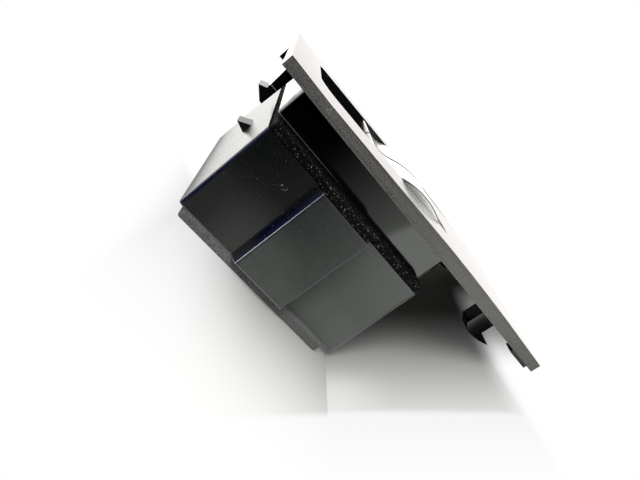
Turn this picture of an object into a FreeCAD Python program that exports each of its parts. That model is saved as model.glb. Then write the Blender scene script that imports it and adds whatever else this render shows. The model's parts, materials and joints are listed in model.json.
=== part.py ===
import FreeCAD, Part
import os
import re
import Sketcher

# Power window switch: a crowned faceplate with a deep skirt and a finger well, two rocker
# knobs side by side, and a stepped switch block under it that holds the contacts.
# Millimetres. +Z points out of the face, +X runs along the faceplate, the origin is at the
# middle of the footprint on the lid's underside.

SIZES = {
    # Faceplate
    "plate_length": 110.0,
    "plate_width": 70.0,
    "edge_height": 3.1,
    "plate_wall": 2.2,
    "rim_wall": 1.6,
    "crown_inset": 35.0,
    "crown_start_rise": 0.25,
    "crown_dip": 0.25,
    "crown_rise": 0.8,
    # Stack of depths from the lid up to the faceplate
    "lid_depth": 2.8,
    "block_depth": 30.0,
    "seal_depth": 2.5,
    "seal_inset": 0.4,
    "seal_gap": 0.2,
    "skirt_depth": 9.6,
    # Skirt under the faceplate
    "skirt_inset": 8.8,
    "skirt_length": 62.2,
    "skirt_near_margin": 9.9,
    "skirt_far_margin": 8.9,
    "skirt_wall": 1.8,
    "skirt_round": 1.2,
    # Finger well and knob opening
    "well_inset": 2.2,
    "well_depth": 10.5,
    "well_round": 5.5,
    "scoop_round": 4.6,
    "well_floor_wall": 1.9,
    "well_side_wall": 2.0,
    "knob_front_gap": 1.2,
    # Switch block, its near side stepped in three facets
    "facet_one_step": 9.3,
    "facet_two_step": 11.5,
    "facet_three_step": 6.6,
    "facet_one_length": 18.9,
    "ramp_length": 2.0,
    "facet_two_end": 39.05,
    "block_far_step": 2.1,
    "block_wall": 2.0,
    "end_wall": 7.3,
    "block_round": 1.3,
    "step_round": 1.8,
    # Rocker knobs
    "knob_width": 17.6,
    "knob_gap": 0.8,
    "knob_side_gap": 0.6,
    "knob_middle": 5.0,
    "knob_wall": 1.5,
    "knob_end_gap": 1.1,
    "pivot_drop": 7.0,
    "knob_front": 17.3,
    "knob_rear": 17.1,
    "knob_front_wall": 13.2,
    "knob_foot": 4.0,
    "lip_height": 7.2,
    "lip_root": 0.8,
    "lip_under": 2.9,
    "dish_length": 11.2,
    "hump_rise": 2.4,
    "knob_round": 0.7,
    "brow_round": 0.8,
    "pivot_radius": 2.0,
    "pivot_play": 0.06,
    "ear_width": 10.0,
    "ear_wall": 2.0,
    "ear_gap": 0.3,
    # Plungers, their guides and the rubber domes
    "plunger_arm": 8.5,
    "plunger_radius": 2.2,
    "plunger_play": 0.05,
    "plunger_collar": 3.2,
    "collar_height": 1.2,
    "guide_wall": 1.2,
    "guide_above": 1.8,
    "guide_below": 3.8,
    "nose_radius": 1.5,
    "nose_bulge": 1.3,
    "nose_width": 4.0,
    "nose_drop": 4.1,
    "contact_gap": 0.05,
    "mat_sheet": 1.0,
    "dome_height": 4.0,
    "dome_radius": 3.9,
    "mat_margin": 1.2,
    "mat_gap": 0.2,
    "dome_slope": 25.0,
    "dome_wall": 0.8,
    "dome_top_wall": 1.6,
    # Circuit board and what it carries
    "guide_room": 4.4,
    "board_thickness": 1.6,
    "board_gap": 0.6,
    "header_inset": 18.2,
    "header_y": 17.0,
    "header_length": 27.0,
    "header_width": 12.0,
    "header_wall": 1.3,
    "header_recess": 1.2,
    "header_floor": 3.0,
    "socket_gap": 0.4,
    "pin_pitch": 4.8,
    "pin_row_pitch": 4.0,
    "pin_wide": 1.2,
    "pin_thin": 0.64,
    "pin_length": 7.0,
    "relay_length": 13.0,
    "relay_width": 15.5,
    "relay_gap": 1.4,
    "relay_foot": 0.4,
    "relay_chamfer": 0.6,
    "relay_inset": 45.7,
    "relay_near_y": -12.0,
    "relay_far_y": 8.0,
    "chip_inset": 12.2,
    "chip_y": -8.0,
    "chip_length": 10.3,
    "chip_width": 7.5,
    "chip_height": 2.3,
    "capacitor_inset": 12.2,
    "capacitor_y": -14.0,
    "capacitor_radius": 4.0,
    "capacitor_gap": 2.7,
    "can_chamfer": 0.5,
    # Fasteners
    "boss_radius": 2.9,
    "screw_radius": 1.1,
    "screw_play": 0.08,
    "head_radius": 2.4,
    "head_height": 1.8,
    "bezel_screw_length": 9.0,
    "board_screw_length": 7.0,
    "boss_left_inset": 7.2,
    "boss_right_inset": 12.0,
    "boss_near_margin": 4.6,
    "boss_far_margin": 4.5,
    "post_radius": 3.0,
    "post_left_inset": 16.2,
    "post_near_inset": 16.0,
    "post_far_inset": 21.0,
    "post_near_margin": 0.7,
    "post_far_margin": 4.5,
    # Snap hooks under the faceplate and on the block
    "arm_width": 8.0,
    "hook_inset": 20.2,
    "hook_thick": 5.8,
    "hook_barb": 4.8,
    "hook_reach": 7.9,
    "hook_width": 6.0,
    "hook_side": 24.0,
    "wedge_level": 18.2,
    "wedge_height": 3.1,
    "wedge_reach": 3.6,
    "wedge_width": 7.0,
    # Lid
    "lid_inset": 2.2,
    "lid_end_step": 5.3,
    "lid_far_step": 1.2,
    "lid_round": 1.0,
    "tab_height": 9.0,
    "tab_wall": 1.5,
    "tab_width": 6.0,
    "tab_gap": 0.25,
    "tab_near": -14.0,
    "tab_far": 24.0,
    "catch_depth": 0.8,
    "catch_height": 2.4,
}

SUMS = {
    "plate_half": "plate_length / 2",
    "plate_side": "plate_width / 2",
    "block_top": "lid_depth + block_depth",
    "skirt_foot": "block_top + seal_depth",
    "rim_foot": "skirt_foot + skirt_depth",
    "face_rim": "rim_foot + edge_height",
    "plate_under": "face_rim - plate_wall",
    "well_floor": "face_rim - well_depth",
    "knob_step": "(knob_width + knob_gap) / 2",
    "well_near": "knob_middle - knob_gap / 2 - knob_width - knob_side_gap",
    "well_far": "knob_middle + knob_gap / 2 + knob_width + knob_side_gap",
    "opening_right": "skirt_right - skirt_wall",
    "pivot_z": "face_rim - pivot_drop",
    "board_top": "board_level + board_thickness",
    "mat_top": "board_top + mat_sheet",
    "dome_top": "mat_top + dome_height",
    "plunger_foot": "dome_top + contact_gap",
    "plunger_head": "pivot_z - nose_drop - contact_gap",
    "wall_under": "block_top - block_wall",
    "cavity_left": "skirt_left + block_wall",
    "cavity_far": "block_far - block_wall",
    "crown_start": "crown_inset - plate_half",
    "skirt_left": "skirt_inset - plate_half",
    "skirt_right": "skirt_left + skirt_length",
    "skirt_near": "well_near - skirt_near_margin",
    "skirt_far": "well_far + skirt_far_margin",
    "well_left": "skirt_left + well_inset",
    "opening_left": "pivot_x - knob_front_wall - knob_front_gap",
    "block_right": "skirt_right",
    "facet_one": "skirt_near - facet_one_step",
    "facet_two": "skirt_near - facet_two_step",
    "facet_three": "skirt_near - facet_three_step",
    "step_start": "skirt_left + facet_one_length",
    "step_end": "step_start + ramp_length",
    "step_back": "skirt_left + facet_two_end",
    "block_far": "skirt_far + block_far_step",
    "cavity_right": "block_right - end_wall",
    "pivot_x": "opening_right - knob_rear - knob_end_gap",
    "board_level": "wall_under - guide_below - guide_room - dome_height - mat_sheet - board_thickness",
    "header_x": "skirt_left + header_inset",
    "relay_height": "board_level - relay_foot - relay_gap - lid_depth",
    "relay_x": "skirt_left + relay_inset",
    "chip_x": "skirt_left + chip_inset",
    "capacitor_x": "skirt_left + capacitor_inset",
    "capacitor_height": "board_level - lid_depth - capacitor_gap",
    "boss_left": "skirt_left + boss_left_inset",
    "boss_right": "skirt_right - boss_right_inset",
    "boss_near": "well_near - boss_near_margin",
    "boss_far": "well_far + boss_far_margin",
    "post_left": "skirt_left + post_left_inset",
    "post_near_right": "skirt_right - post_near_inset",
    "post_far_right": "skirt_right - post_far_inset",
    "post_near": "skirt_near - post_near_margin",
    "post_far": "skirt_far - post_far_margin",
    "hook_x": "plate_half - hook_inset",
    "lid_left": "skirt_left + lid_inset",
    "lid_right": "block_right - lid_end_step",
    "lid_near": "facet_one",
    "lid_far": "block_far - lid_far_step",
}

doc = FreeCAD.newDocument("power_window_switch")
sheet = doc.addObject("Spreadsheet::Sheet", "sizes")
for row, (name, value) in enumerate(SIZES.items(), start=1):
    sheet.set(f"A{row}", name)
    sheet.set(f"B{row}", str(value))
    sheet.setAlias(f"B{row}", name)
doc.recompute()

nodes = []


def bind(text):
    """A sum of named sizes, written so that each size is read from the sheet."""
    def read(match):
        word = match.group()
        if word in SUMS:
            return "(" + bind(SUMS[word]) + ")"
        return "sizes." + word if word in SIZES else word
    return re.sub(r"[a-z][a-z_]*", read, str(text))


def number(text):
    """The present value of a sum of named sizes."""
    return float(sheet.evalExpression(bind(text)))


def new_body(label):
    body = doc.addObject("PartDesign::Body", label)
    body.Label = label
    nodes.append(body)
    return body


# Sketch planes: a plane is named by its two axes, and lies at a place along the third
PLANES = {"XY": ("XY_Plane", 1), "XZ": ("XZ_Plane", -1), "YZ": ("YZ_Plane", 1)}


def new_sketch(body, name, plane, place):
    role, sign = PLANES[plane]
    sketch = body.newObject("Sketcher::SketchObject", name)
    base = [item for item in body.Origin.OriginFeatures if item.Role == role][0]
    sketch.AttachmentSupport = (base, [""])
    sketch.MapMode = "FlatFace"
    sketch.setExpression("AttachmentOffset.Base.z", bind(f"{sign} * ({place})"))
    return sketch


def fix(sketch, constraint, text):
    """Adds a constraint whose size is bound to the sheet."""
    index = sketch.addConstraint(constraint)
    sketch.setExpression(f"Constraints[{index}]", bind(text))


def outline(sketch, points):
    """A closed outline. A point is (across, up), or (across, up, bulge) where the way on is an arc."""
    places = [FreeCAD.Vector(number(point[0]), number(point[1]), 0) for point in points]
    first = sketch.GeometryCount
    starts = []
    for i, point in enumerate(points):
        here = places[i]
        there = places[(i + 1) % len(points)]
        if len(point) == 2:
            sketch.addGeometry(Part.LineSegment(here, there), False)
            starts.append((1, 2))
            continue
        way = there - here
        side = FreeCAD.Vector(-way.y, way.x, 0).normalize() * number(point[2])
        middle = (here + there) * 0.5 + side
        arc = Part.Arc(here, middle, there)
        index = sketch.addGeometry(arc, False)
        begins = sketch.getPoint(index, 1).distanceToPoint(here) < 1e-6
        starts.append((1, 2) if begins else (2, 1))
    for i, point in enumerate(points):
        after = (i + 1) % len(points)
        sketch.addConstraint(
            Sketcher.Constraint("Coincident", first + i, starts[i][1], first + after, starts[after][0])
        )
        fix(sketch, Sketcher.Constraint("DistanceX", -1, 1, first + i, starts[i][0], places[i].x), point[0])
        fix(sketch, Sketcher.Constraint("DistanceY", -1, 1, first + i, starts[i][0], places[i].y), point[1])
        if len(point) == 3:
            chord = f"((({points[after][0]}) - ({point[0]}))^2 + (({points[after][1]}) - ({point[1]}))^2)"
            bulge = f"abs({point[2]})"
            radius = f"{chord} / (8 * {bulge}) + {bulge} / 2"
            fix(sketch, Sketcher.Constraint("Radius", first + i, number(radius)), radius)


def circle(sketch, across, up, radius):
    centre = FreeCAD.Vector(number(across), number(up), 0)
    index = sketch.addGeometry(Part.Circle(centre, FreeCAD.Vector(0, 0, 1), number(radius)), False)
    fix(sketch, Sketcher.Constraint("DistanceX", -1, 1, index, 3, centre.x), across)
    fix(sketch, Sketcher.Constraint("DistanceY", -1, 1, index, 3, centre.y), up)
    fix(sketch, Sketcher.Constraint("Radius", index, number(radius)), radius)


def rectangle(left, right, low, high):
    return [(left, low), (right, low), (right, high), (left, high)]


def feature(body, kind, name, sketch, length, way="up"):
    """A pad or pocket. Its way is up or down along the plane's third axis, or both for half each way."""
    item = body.newObject(f"PartDesign::{kind}", name)
    item.Profile = sketch
    item.setExpression("Length", bind(length))
    if way == "both":
        item.Midplane = True
    else:
        role_sign = -1 if "XZ" in sketch.AttachmentSupport[0][0].Role else 1
        grows = role_sign if kind == "Pad" else -role_sign
        item.Reversed = (grows > 0) != (way == "up")
    body.Tip = item
    return item


def extrude(body, kind, name, plane, place, shapes, length, way="up"):
    """Sketches the shapes and pads or pockets them. A shape is an outline, or a circle's three sizes."""
    sketch = new_sketch(body, name + "_sketch", plane, place)
    for shape in shapes:
        if isinstance(shape, tuple):
            circle(sketch, *shape)
        else:
            outline(sketch, shape)
    return feature(body, kind, name, sketch, length, way)


def round_edges(body, name, radius, wanted, kind="Fillet"):
    """Rounds, or chamfers, the edges that a rule picks by the middle of each edge."""
    doc.recompute()
    base = body.Tip
    names = []
    for i, edge in enumerate(base.Shape.Edges, start=1):
        middle = edge.valueAt((edge.FirstParameter + edge.LastParameter) / 2)
        if wanted(edge, middle):
            names.append(f"Edge{i}")
    item = body.newObject(f"PartDesign::{kind}", name)
    item.Base = (base, names)
    item.setExpression("Radius" if kind == "Fillet" else "Size", bind(radius))
    body.Tip = item
    return item


def near(value, text, slack=0.01):
    return abs(value - number(text)) < slack


def upright(edge):
    """True for a straight edge along Z."""
    if edge.Curve.TypeId != "Part::GeomLine":
        return False
    return abs(edge.tangentAt(edge.FirstParameter).z) > 0.999


def block_outline(inset, right, far, left="skirt_left"):
    """The stepped plan of the switch block, moved inwards by an inset."""
    return [
        (f"{left} + {inset}", f"facet_one + {inset}"),
        (f"step_start + {inset} / 2", f"facet_one + {inset}"),
        (f"step_end + {inset} / 2", f"facet_two + {inset}"),
        (f"step_back - {inset}", f"facet_two + {inset}"),
        (f"step_back - {inset}", f"facet_three + {inset}"),
        (right, f"facet_three + {inset}"),
        (right, far),
        (f"{left} + {inset}", far),
    ]


KNOB_PLACES = {"near": "knob_middle - knob_step", "far": "knob_middle + knob_step"}
PLUNGER_PLACES = {"front": "pivot_x - plunger_arm", "rear": "pivot_x + plunger_arm"}
BOSSES = [(x, y) for x in ("boss_left", "boss_right") for y in ("boss_near", "boss_far")]
POSTS = [
    ("post_left", "post_near"),
    ("post_near_right", "post_near"),
    ("post_left", "post_far"),
    ("post_far_right", "post_far"),
]


# Bezel: crowned faceplate, skirt, finger well, screw bosses and snap hooks in one moulding
def make_bezel():
    body = new_body("bezel")
    face = [
        ("-plate_half", "rim_foot"),
        ("plate_half", "rim_foot"),
        ("plate_half", "face_rim", "-crown_rise"),
        ("crown_start", "face_rim + crown_start_rise", "crown_dip"),
        ("-plate_half", "face_rim"),
    ]
    extrude(body, "Pad", "crowned_plate", "XZ", "0", [face], "plate_width", "both")
    hollow = rectangle(
        "-plate_half + rim_wall", "plate_half - rim_wall", "-plate_side + rim_wall", "plate_side - rim_wall"
    )
    extrude(body, "Pocket", "underside", "XY", "rim_foot", [hollow], "plate_under - rim_foot", "up")
    skirt = rectangle("skirt_left", "skirt_right", "skirt_near", "skirt_far")
    extrude(body, "Pad", "skirt", "XY", "skirt_foot", [skirt], "plate_under - skirt_foot", "up")
    inside = rectangle(
        "skirt_left + skirt_wall", "skirt_right - skirt_wall", "skirt_near + skirt_wall", "skirt_far - skirt_wall"
    )
    extrude(body, "Pocket", "skirt_inside", "XY", "skirt_foot", [inside], "plate_under - skirt_foot", "up")
    tub = rectangle(
        "skirt_left + skirt_wall / 2",
        "skirt_right - skirt_wall / 2",
        "well_near - well_side_wall",
        "well_far + well_side_wall",
    )
    tub_foot = "well_floor - well_floor_wall"
    extrude(body, "Pad", "well_tub", "XY", tub_foot, [tub], f"plate_under - ({tub_foot})", "up")
    bosses = [(x, y, "boss_radius") for x, y in BOSSES]
    extrude(body, "Pad", "screw_bosses", "XY", "block_top", bosses, "plate_under - block_top", "up")
    holes = [(x, y, "screw_radius + screw_play") for x, y in BOSSES]
    extrude(body, "Pocket", "screw_holes", "XY", "block_top", holes, "bezel_screw_length", "up")
    well = rectangle("well_left", "opening_right", "well_near", "well_far")
    extrude(body, "Pocket", "well", "XY", "well_floor", [well], "well_depth + 2 * crown_rise", "up")
    round_edges(body, "well_corners", "well_round", lambda edge, middle: (
        upright(edge) and near(middle.x, "well_left") and middle.z > number("well_floor")
    ))
    round_edges(body, "scoop", "scoop_round", lambda edge, middle: (
        near(middle.z, "well_floor")
        and middle.x < number("opening_right") - 0.1
        and number("well_near") - 0.01 <= middle.y <= number("well_far") + 0.01
    ))
    opening = rectangle("opening_left", "opening_right", "well_near", "well_far")
    extrude(body, "Pocket", "knob_opening", "XY", tub_foot, [opening], "face_rim - skirt_foot", "up")
    snap_arm = [
        ("skirt_left - 2.0", "plate_under"),
        ("skirt_left - 5.7", "plate_under"),
        ("skirt_left - 5.4", "rim_foot - 4.5"),
        ("skirt_left - 5.0", "skirt_foot - 1.3"),
        ("skirt_left - 7.3", "skirt_foot - 2.5"),
        ("skirt_left - 3.6", "skirt_foot - 5.5"),
        ("skirt_left - 2.7", "skirt_foot - 5.5"),
    ]
    extrude(body, "Pad", "snap_arm", "XZ", "0", [snap_arm], "arm_width", "both")
    hook_foot = "rim_foot - hook_reach"
    hook = [
        ("hook_x", "plate_under"),
        ("hook_x", f"{hook_foot} + 1.6"),
        ("hook_x + 2.4", hook_foot, "-0.5"),
        ("hook_x + hook_thick + hook_barb", f"{hook_foot} + 1.9"),
        ("hook_x + hook_thick", f"{hook_foot} + 2.9"),
        ("hook_x + hook_thick", "plate_under"),
    ]
    for side in ("near", "far"):
        place = "-hook_side" if side == "near" else "hook_side"
        extrude(body, "Pad", f"hook_{side}", "XZ", place, [hook], "hook_width", "both")
    locator = rectangle("-plate_half", "-plate_half + 1.4", "rim_foot - 3.8", "plate_under")
    extrude(body, "Pad", "locating_tab", "XZ", "11.0", [locator], "9.0", "both")
    end_pad = rectangle("plate_half - 9.9", "plate_half - 2.6", "rim_foot - 1.0", "plate_under")
    extrude(body, "Pad", "end_pad", "XZ", "-plate_side + 2", [end_pad], "4", "both")
    round_edges(body, "skirt_corners", "skirt_round", lambda edge, middle: (
        upright(edge)
        and (near(middle.x, "skirt_left") or near(middle.x, "skirt_right"))
        and (near(middle.y, "skirt_near") or near(middle.y, "skirt_far"))
    ))
    return body


# Switch block: the stepped lower housing with pivot ears, plunger guides and board posts
def make_housing():
    body = new_body("switch_housing")
    shell = block_outline("0", "block_right", "block_far")
    extrude(body, "Pad", "block", "XY", "lid_depth", [shell], "block_depth", "up")
    round_edges(body, "block_corners", "block_round", lambda edge, middle: (
        upright(edge)
        and (near(middle.x, "skirt_left") or near(middle.x, "block_right"))
    ))
    round_edges(body, "step_hollow", "step_round", lambda edge, middle: (
        upright(edge) and near(middle.x, "step_start") and near(middle.y, "facet_one")
    ))
    cavity = block_outline("block_wall", "cavity_right", "cavity_far")
    extrude(body, "Pocket", "cavity", "XY", "lid_depth", [cavity], "block_depth - block_wall", "up")
    core = rectangle(
        "cavity_right + block_wall",
        "block_right - block_wall",
        "facet_three + block_wall",
        "block_far - block_wall",
    )
    extrude(body, "Pocket", "end_core", "XY", "lid_depth + block_wall", [core], "block_depth", "up")
    ribs = []
    for share in ("0.25", "0.5", "0.75"):
        middle = f"facet_three + {share} * (block_far - facet_three)"
        ribs.append(rectangle(
            "cavity_right + block_wall / 2",
            "block_right - block_wall / 2",
            f"{middle} - block_wall / 2",
            f"{middle} + block_wall / 2",
        ))
    extrude(body, "Pad", "end_ribs", "XY", "lid_depth + block_wall", ribs, "block_depth - block_wall", "up")
    guides = []
    bores = []
    for knob_place in KNOB_PLACES.values():
        for plunger_place in PLUNGER_PLACES.values():
            guides.append((plunger_place, knob_place, "plunger_radius + plunger_play + guide_wall"))
            bores.append((plunger_place, knob_place, "plunger_radius + plunger_play"))
    guide_foot = "wall_under - guide_below"
    guide_length = "guide_below + block_wall + guide_above"
    extrude(body, "Pad", "plunger_guides", "XY", guide_foot, guides, guide_length, "up")
    extrude(body, "Pocket", "plunger_bores", "XY", guide_foot, bores, guide_length, "up")
    ear = [
        ("pivot_x - ear_width / 2", "wall_under"),
        ("pivot_x + ear_width / 2", "wall_under"),
        ("pivot_x + ear_width / 2", "pivot_z - 4.0"),
        ("pivot_x + pivot_radius + 1.2", "pivot_z", "-pivot_radius - 1.0"),
        ("pivot_x - pivot_radius - 1.2", "pivot_z"),
        ("pivot_x - ear_width / 2", "pivot_z - 4.0"),
    ]
    ear_out = "knob_width / 2 - knob_wall - ear_gap"
    for side, place in KNOB_PLACES.items():
        for hand, sign in (("left", "-"), ("right", "+")):
            middle = f"{place} {sign} ({ear_out} - ear_wall / 2)"
            extrude(body, "Pad", f"ear_{side}_{hand}", "XZ", middle, [ear], "ear_wall", "both")
            boss_middle = f"{place} {sign} ({ear_out} + knob_wall / 2 - 0.5)"
            pivot = ("pivot_x", "pivot_z", "pivot_radius")
            extrude(body, "Pad", f"pivot_{side}_{hand}", "XZ", boss_middle, [pivot], "knob_wall", "both")
    posts = [(x, y, "post_radius") for x, y in POSTS]
    extrude(body, "Pad", "board_posts", "XY", "board_top", posts, "wall_under - board_top + 0.5", "up")
    pilots = [(x, y, "screw_radius + screw_play") for x, y in POSTS]
    extrude(body, "Pocket", "post_holes", "XY", "board_top", pilots, "board_screw_length", "up")
    passes = [(x, y, "screw_radius + screw_play") for x, y in BOSSES]
    extrude(body, "Pocket", "screw_passes", "XY", "wall_under", passes, "block_wall", "up")
    wedge = [
        ("skirt_left + 0.5", "lid_depth + wedge_level - 0.5"),
        ("skirt_left + 0.5", "lid_depth + wedge_level + wedge_height"),
        ("skirt_left", "lid_depth + wedge_level + wedge_height - 0.8"),
        ("skirt_left - wedge_reach", "lid_depth + wedge_level"),
        ("skirt_left", "lid_depth + wedge_level - 1.1"),
    ]
    extrude(body, "Pad", "wedge_barb", "XZ", "0", [wedge], "wedge_width", "both")
    pockets = []
    for place in ("tab_near", "tab_far"):
        for wall, inner in (("cavity_left", "cavity_left - catch_depth"), ("cavity_right", "cavity_right + catch_depth")):
            pockets.append(rectangle(
                f"min({wall}; {inner})",
                f"max({wall}; {inner})",
                f"{place} - tab_width / 2 - tab_gap",
                f"{place} + tab_width / 2 + tab_gap",
            ))
    catch_foot = "lid_depth + tab_height - catch_height - tab_gap"
    extrude(body, "Pocket", "catches", "XY", catch_foot, pockets, "catch_height + 2 * tab_gap", "up")
    return body


# Lid: closes the block's foot, with snap tabs and the socket's cut-out
def make_lid():
    body = new_body("bottom_cover")
    plan = rectangle("lid_left", "lid_right", "lid_near", "lid_far")
    extrude(body, "Pad", "cover", "XY", "0", [plan], "lid_depth", "up")
    round_edges(body, "cover_corners", "lid_round", lambda edge, middle: upright(edge))
    cut = rectangle(
        "header_x - header_length / 2 - socket_gap",
        "header_x + header_length / 2 + socket_gap",
        "header_y - header_width / 2 - socket_gap",
        "header_y + header_width / 2 + socket_gap",
    )
    extrude(body, "Pocket", "socket_cutout", "XY", "0", [cut], "lid_depth", "up")
    tab_top = "lid_depth + tab_height"
    left_tab = [
        ("cavity_left + tab_gap", "lid_depth"),
        ("cavity_left + tab_gap + tab_wall", "lid_depth"),
        ("cavity_left + tab_gap + tab_wall", tab_top),
        ("cavity_left + tab_gap", tab_top),
        ("cavity_left - catch_depth + tab_gap", f"{tab_top} - catch_height"),
        ("cavity_left + tab_gap", f"{tab_top} - catch_height"),
    ]
    right_tab = [
        ("cavity_right - tab_gap - tab_wall", "lid_depth"),
        ("cavity_right - tab_gap", "lid_depth"),
        ("cavity_right - tab_gap", f"{tab_top} - catch_height"),
        ("cavity_right + catch_depth - tab_gap", f"{tab_top} - catch_height"),
        ("cavity_right - tab_gap", tab_top),
        ("cavity_right - tab_gap - tab_wall", tab_top),
    ]
    for side in ("near", "far"):
        for hand, tab in (("left", left_tab), ("right", right_tab)):
            extrude(body, "Pad", f"tab_{side}_{hand}", "XZ", f"tab_{side}", [tab], "tab_width", "both")
    return body


# Foam seal: lies on the block's ledge and under the skirt's foot
def make_seal():
    body = new_body("foam_seal")
    ring = block_outline("seal_inset", "block_right - seal_inset", "block_far - seal_inset")
    extrude(body, "Pad", "ring", "XY", "block_top", [ring], "seal_depth", "up")
    hole = rectangle(
        "skirt_left + skirt_wall", "skirt_right - skirt_wall", "skirt_near + skirt_wall", "skirt_far - skirt_wall"
    )
    extrude(body, "Pocket", "middle", "XY", "block_top", [hole], "seal_depth", "up")
    bosses = [(x, y, "boss_radius + seal_gap") for x, y in BOSSES]
    extrude(body, "Pocket", "boss_gaps", "XY", "block_top", bosses, "seal_depth", "up")
    return body


# Rocker knob: a thin shell with a pull lip, a dished finger pad and a crowned push pad
def make_knob(side):
    body = new_body(f"knob_{side}")
    front = "pivot_x - knob_front"
    wall = "pivot_x - knob_front_wall"
    rear = "pivot_x + knob_rear"
    foot = "pivot_z - knob_foot"
    lip_top = "pivot_z + lip_height"
    dish_end = f"{front} + 0.7 + dish_length"
    hump_length = f"(({rear} - 0.5) - ({dish_end}))"
    dish_depth = f"hump_rise * dish_length / {hump_length}"
    profile = [
        (wall, foot),
        (rear, foot),
        (f"{rear} - 0.5", lip_top, "-hump_rise"),
        (dish_end, lip_top, dish_depth),
        (f"{front} + 0.7", lip_top, "-0.25"),
        (front, "pivot_z + lip_under + 1.2", "-0.3"),
        (f"{front} + 0.9", "pivot_z + lip_under"),
        (wall, "pivot_z + lip_root"),
    ]
    extrude(body, "Pad", "rocker", "XZ", "0", [profile], "knob_width", "both")
    round_edges(body, "rocker_brows", "brow_round", lambda edge, middle: (
        near(middle.y, "0") and near(middle.z, lip_top) and not near(middle.x, dish_end)
    ))
    round_edges(body, "rocker_edges", "knob_round", lambda edge, middle: (
        near(abs(middle.y), "knob_width / 2") and middle.z > number("pivot_z + lip_under + 0.5")
    ))
    hollow = [
        (f"{wall} + knob_wall", f"{foot} - 1"),
        (f"{rear} - knob_wall", f"{foot} - 1"),
        (f"{rear} - knob_wall - 0.3", f"{lip_top} - knob_wall", "-hump_rise + 0.2"),
        (dish_end, f"{lip_top} - knob_wall - 0.6", "0.4"),
        (f"{front} + 0.7 + knob_wall", f"{lip_top} - knob_wall - 1.5"),
        (f"{wall} + knob_wall", "pivot_z + lip_root + 0.8"),
    ]
    extrude(body, "Pocket", "hollow", "XZ", "0", [hollow], "knob_width - 2 * knob_wall", "both")
    holes = [("pivot_x", "pivot_z", "pivot_radius + pivot_play")]
    extrude(body, "Pocket", "pivot_holes", "XZ", "0", holes, "knob_width + 2", "both")
    for end, sign in (("front", "-"), ("rear", "+")):
        ceiling = f"{lip_top} - knob_wall - 0.8" if end == "front" else f"{lip_top} - knob_wall + 1.9"
        middle = f"pivot_x {sign} plunger_arm"
        nose_foot = "pivot_z - nose_drop"
        nose = [
            (f"{middle} - nose_radius", f"{nose_foot} + nose_bulge", "-nose_bulge"),
            (f"{middle} + nose_radius", f"{nose_foot} + nose_bulge"),
            (f"{middle} + nose_radius", ceiling),
            (f"{middle} - nose_radius", ceiling),
        ]
        extrude(body, "Pad", f"nose_{end}", "XZ", "0", [nose], "nose_width", "both")
    body.setExpression("Placement.Base.y", bind(KNOB_PLACES[side]))
    return body


# Plunger: a stepped rod that carries a knob's nose down to its rubber dome
def make_plunger(side, end):
    body = new_body(f"plunger_{side}_{end}")
    stem = [("0", "0", "plunger_radius")]
    extrude(body, "Pad", "stem", "XY", "plunger_foot", stem, "plunger_head - plunger_foot", "up")
    collar = [("0", "0", "plunger_collar")]
    extrude(body, "Pad", "collar", "XY", "plunger_foot + 1.4", collar, "collar_height", "up")
    body.setExpression("Placement.Base.x", bind(PLUNGER_PLACES[end]))
    body.setExpression("Placement.Base.y", bind(KNOB_PLACES[side]))
    return body


def cone(body, kind, name, x, y, foot, radius, height):
    """Adds or cuts an upright cone that narrows at the domes' slope."""
    base = body.Tip
    item = body.newObject(f"PartDesign::{kind}Cone", name)
    item.BaseFeature = base
    item.setExpression("Radius1", bind(radius))
    item.setExpression("Radius2", bind(f"{radius} - ({height}) * tan(dome_slope * 1 deg)"))
    item.setExpression("Height", bind(height))
    item.setExpression("Placement.Base.x", bind(x))
    item.setExpression("Placement.Base.y", bind(y))
    item.setExpression("Placement.Base.z", bind(foot))
    body.Tip = item
    return item


# Rubber mat: a sheet on the board with a hollow dome under each plunger
def make_mat():
    body = new_body("rubber_mat")
    margin = "(dome_radius + mat_margin)"
    plan = rectangle(
        f"pivot_x - plunger_arm - {margin}",
        "cavity_right - mat_gap",
        f"knob_middle - knob_step - {margin}",
        f"knob_middle + knob_step + {margin}",
    )
    extrude(body, "Pad", "sheet", "XY", "board_top", [plan], "mat_sheet", "up")
    places = [(x, y) for x in PLUNGER_PLACES.values() for y in KNOB_PLACES.values()]
    for i, (x, y) in enumerate(places, start=1):
        cone(body, "Additive", f"dome_{i}", x, y, "mat_top", "dome_radius", "dome_height")
    for i, (x, y) in enumerate(places, start=1):
        height = "mat_sheet + dome_height - dome_top_wall"
        cone(body, "Subtractive", f"chamber_{i}", x, y, "board_top", "dome_radius - dome_wall", height)
    return body


def pin_places():
    """The middle of each terminal, two rows of five."""
    places = []
    for row in (-0.5, 0.5):
        for column in (-2, -1, 0, 1, 2):
            places.append((f"header_x + {column} * pin_pitch", f"header_y + {row} * pin_row_pitch"))
    return places


def pin_plan(x, y, play):
    return rectangle(
        f"{x} - pin_wide / 2 - {play}",
        f"{x} + pin_wide / 2 + {play}",
        f"{y} - pin_thin / 2 - {play}",
        f"{y} + pin_thin / 2 + {play}",
    )


# Circuit board: screwed under the block's posts
def make_board():
    body = new_body("circuit_board")
    plan = rectangle(
        "cavity_left + board_gap",
        "cavity_right - board_gap",
        "facet_three + block_wall + board_gap",
        "cavity_far - board_gap",
    )
    extrude(body, "Pad", "laminate", "XY", "board_level", [plan], "board_thickness", "up")
    round_edges(body, "laminate_corners", "1.0", lambda edge, middle: upright(edge))
    holes = [(x, y, "screw_radius + 2 * screw_play") for x, y in POSTS]
    slots = [pin_plan(x, y, "0.1") for x, y in pin_places()]
    extrude(body, "Pocket", "board_holes", "XY", "board_level", holes + slots, "board_thickness", "up")
    return body


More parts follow.
